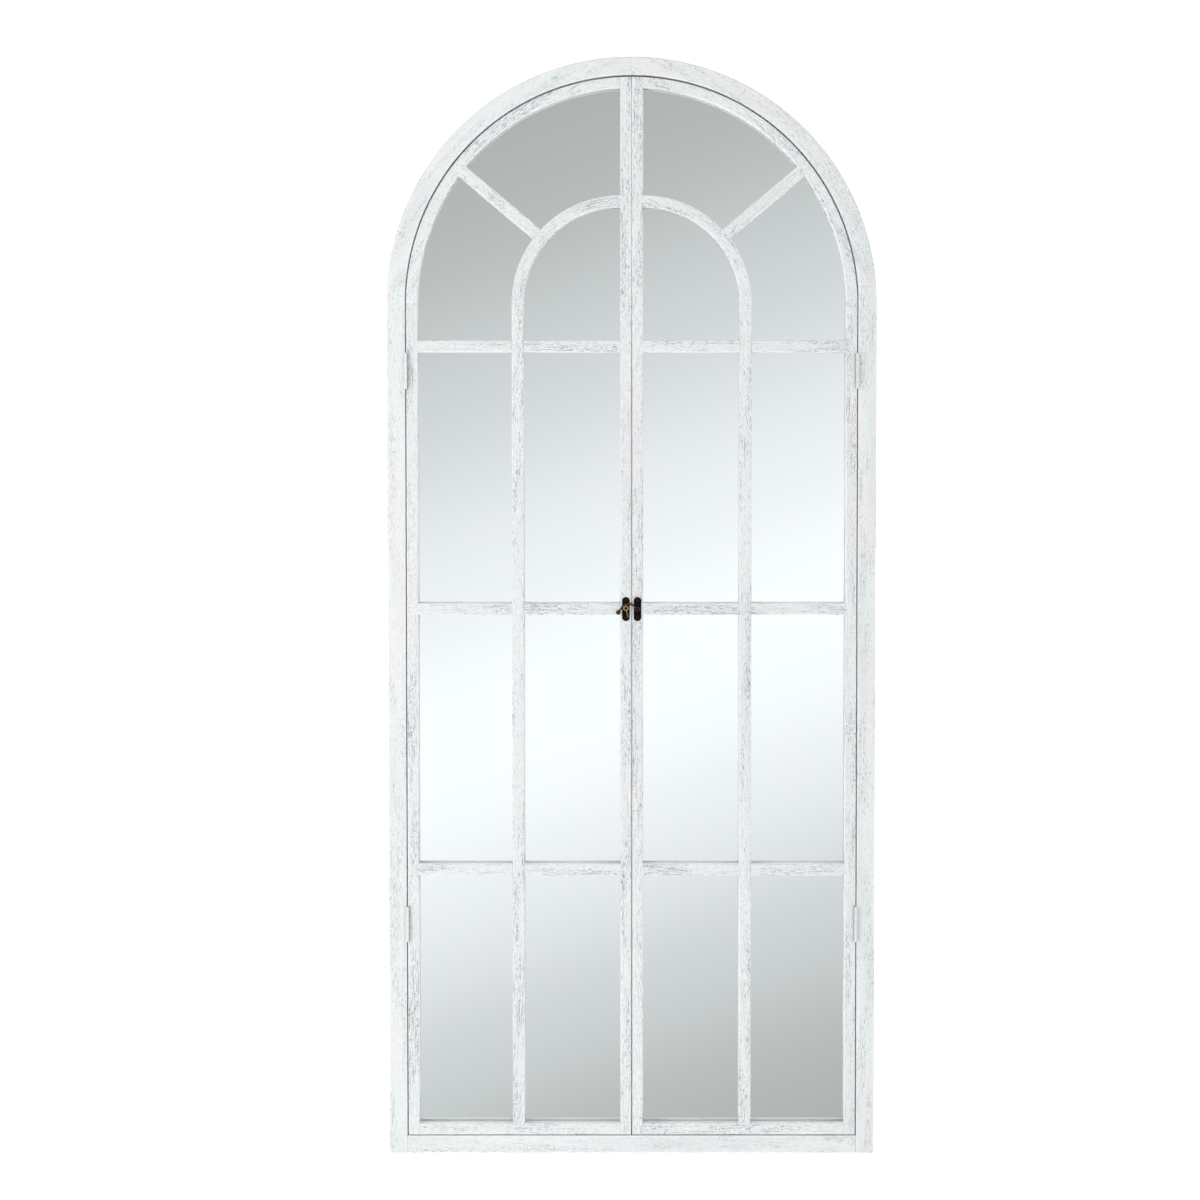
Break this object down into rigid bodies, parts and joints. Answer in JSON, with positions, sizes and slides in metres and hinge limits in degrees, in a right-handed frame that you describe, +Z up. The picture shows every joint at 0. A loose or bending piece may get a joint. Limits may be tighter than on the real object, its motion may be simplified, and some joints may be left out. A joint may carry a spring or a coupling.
{
  "type": "arched window mirror",
  "caption": "Tall arched wall mirror framed as a window: a whitewashed wood casing, two hinged glazing-bar leaves over a mirror sheet, and a hook latch.",
  "frame": {"origin": "middle of the casing's foot face, half way through the casing's depth", "axes": "+X to the viewer's right, +Y from the front to the back, +Z up"},
  "size_m": [0.8, 0.0442, 1.8],
  "materials": {
    "casing_wood": "whitewashed, worn, satin",
    "leaf_wood": "whitewashed with grey grain showing through, satin",
    "dowel_wood": "plain beech",
    "mirror": "silvered glass",
    "back_board": "brown hardboard, matte",
    "hinge_metal": "painted over white, satin",
    "steel": "zinc plated",
    "latch_bronze": "dark antique bronze, rubbed to gold on the high edges"
  },
  "bodies": {
    "casing": {"casing_left_stile": "casing_wood", "casing_right_stile": "casing_wood", "casing_left_arch": "casing_wood", "casing_right_arch": "casing_wood", "casing_bottom_rail": "casing_wood", "casing_dowels": "dowel_wood", "mirror_sheet": "mirror", "back_board": "back_board", "board_points": "steel", "bottom_stop": "casing_wood", "crown_stop": "casing_wood", "left_hanger_plate": "steel", "right_hanger_plate": "steel", "hanger_screws": "steel", "casing_hinge_screws": "steel", "left_upper_hinge_casing_plate": "hinge_metal", "left_upper_hinge_pin": "hinge_metal", "left_lower_hinge_casing_plate": "hinge_metal", "left_lower_hinge_pin": "hinge_metal", "right_upper_hinge_casing_plate": "hinge_metal", "right_upper_hinge_pin": "hinge_metal", "right_lower_hinge_casing_plate": "hinge_metal", "right_lower_hinge_pin": "hinge_metal"},
    "left_leaf": {"left_hinge_stile": "leaf_wood", "left_meeting_stile": "leaf_wood", "left_arch_rail": "leaf_wood", "left_bottom_rail": "leaf_wood", "left_vertical_bar": "leaf_wood", "left_inner_arch_bar": "leaf_wood", "left_diagonal_bar": "leaf_wood", "left_lower_bar": "leaf_wood", "left_middle_bar": "leaf_wood", "left_upper_bar": "leaf_wood", "left_leaf_dowels": "dowel_wood", "left_hinge_screws": "steel", "left_upper_hinge_leaf_plate": "hinge_metal", "left_lower_hinge_leaf_plate": "hinge_metal", "keeper_plate": "latch_bronze", "keeper_screws": "latch_bronze", "keeper_stud": "latch_bronze"},
    "right_leaf": {"right_hinge_stile": "leaf_wood", "right_meeting_stile": "leaf_wood", "right_arch_rail": "leaf_wood", "right_bottom_rail": "leaf_wood", "right_vertical_bar": "leaf_wood", "right_inner_arch_bar": "leaf_wood", "right_diagonal_bar": "leaf_wood", "right_lower_bar": "leaf_wood", "right_middle_bar": "leaf_wood", "right_upper_bar": "leaf_wood", "right_leaf_dowels": "dowel_wood", "right_hinge_screws": "steel", "right_upper_hinge_leaf_plate": "hinge_metal", "right_lower_hinge_leaf_plate": "hinge_metal", "pivot_plate": "latch_bronze", "pivot_screws": "latch_bronze", "pivot_post": "latch_bronze"},
    "latch_hook": {"latch_hook": "latch_bronze"}
  },
  "joints": [
    {"name": "left_leaf_swing", "type": "hinge", "parent": "casing", "child": "left_leaf", "pos_m": [-0.3688, -0.0212, 0.9], "axis": [0, 0, -1], "range_deg": [0, 170]},
    {"name": "right_leaf_swing", "type": "hinge", "parent": "casing", "child": "right_leaf", "pos_m": [0.3688, -0.0212, 0.9], "axis": [0, 0, 1], "range_deg": [0, 170]},
    {"name": "latch_hook_lift", "type": "hinge", "parent": "right_leaf", "child": "latch_hook", "pos_m": [0.0095, -0.0227, 0.9003], "axis": [0, 1, 0], "range_deg": [0, 110]}
  ]
}
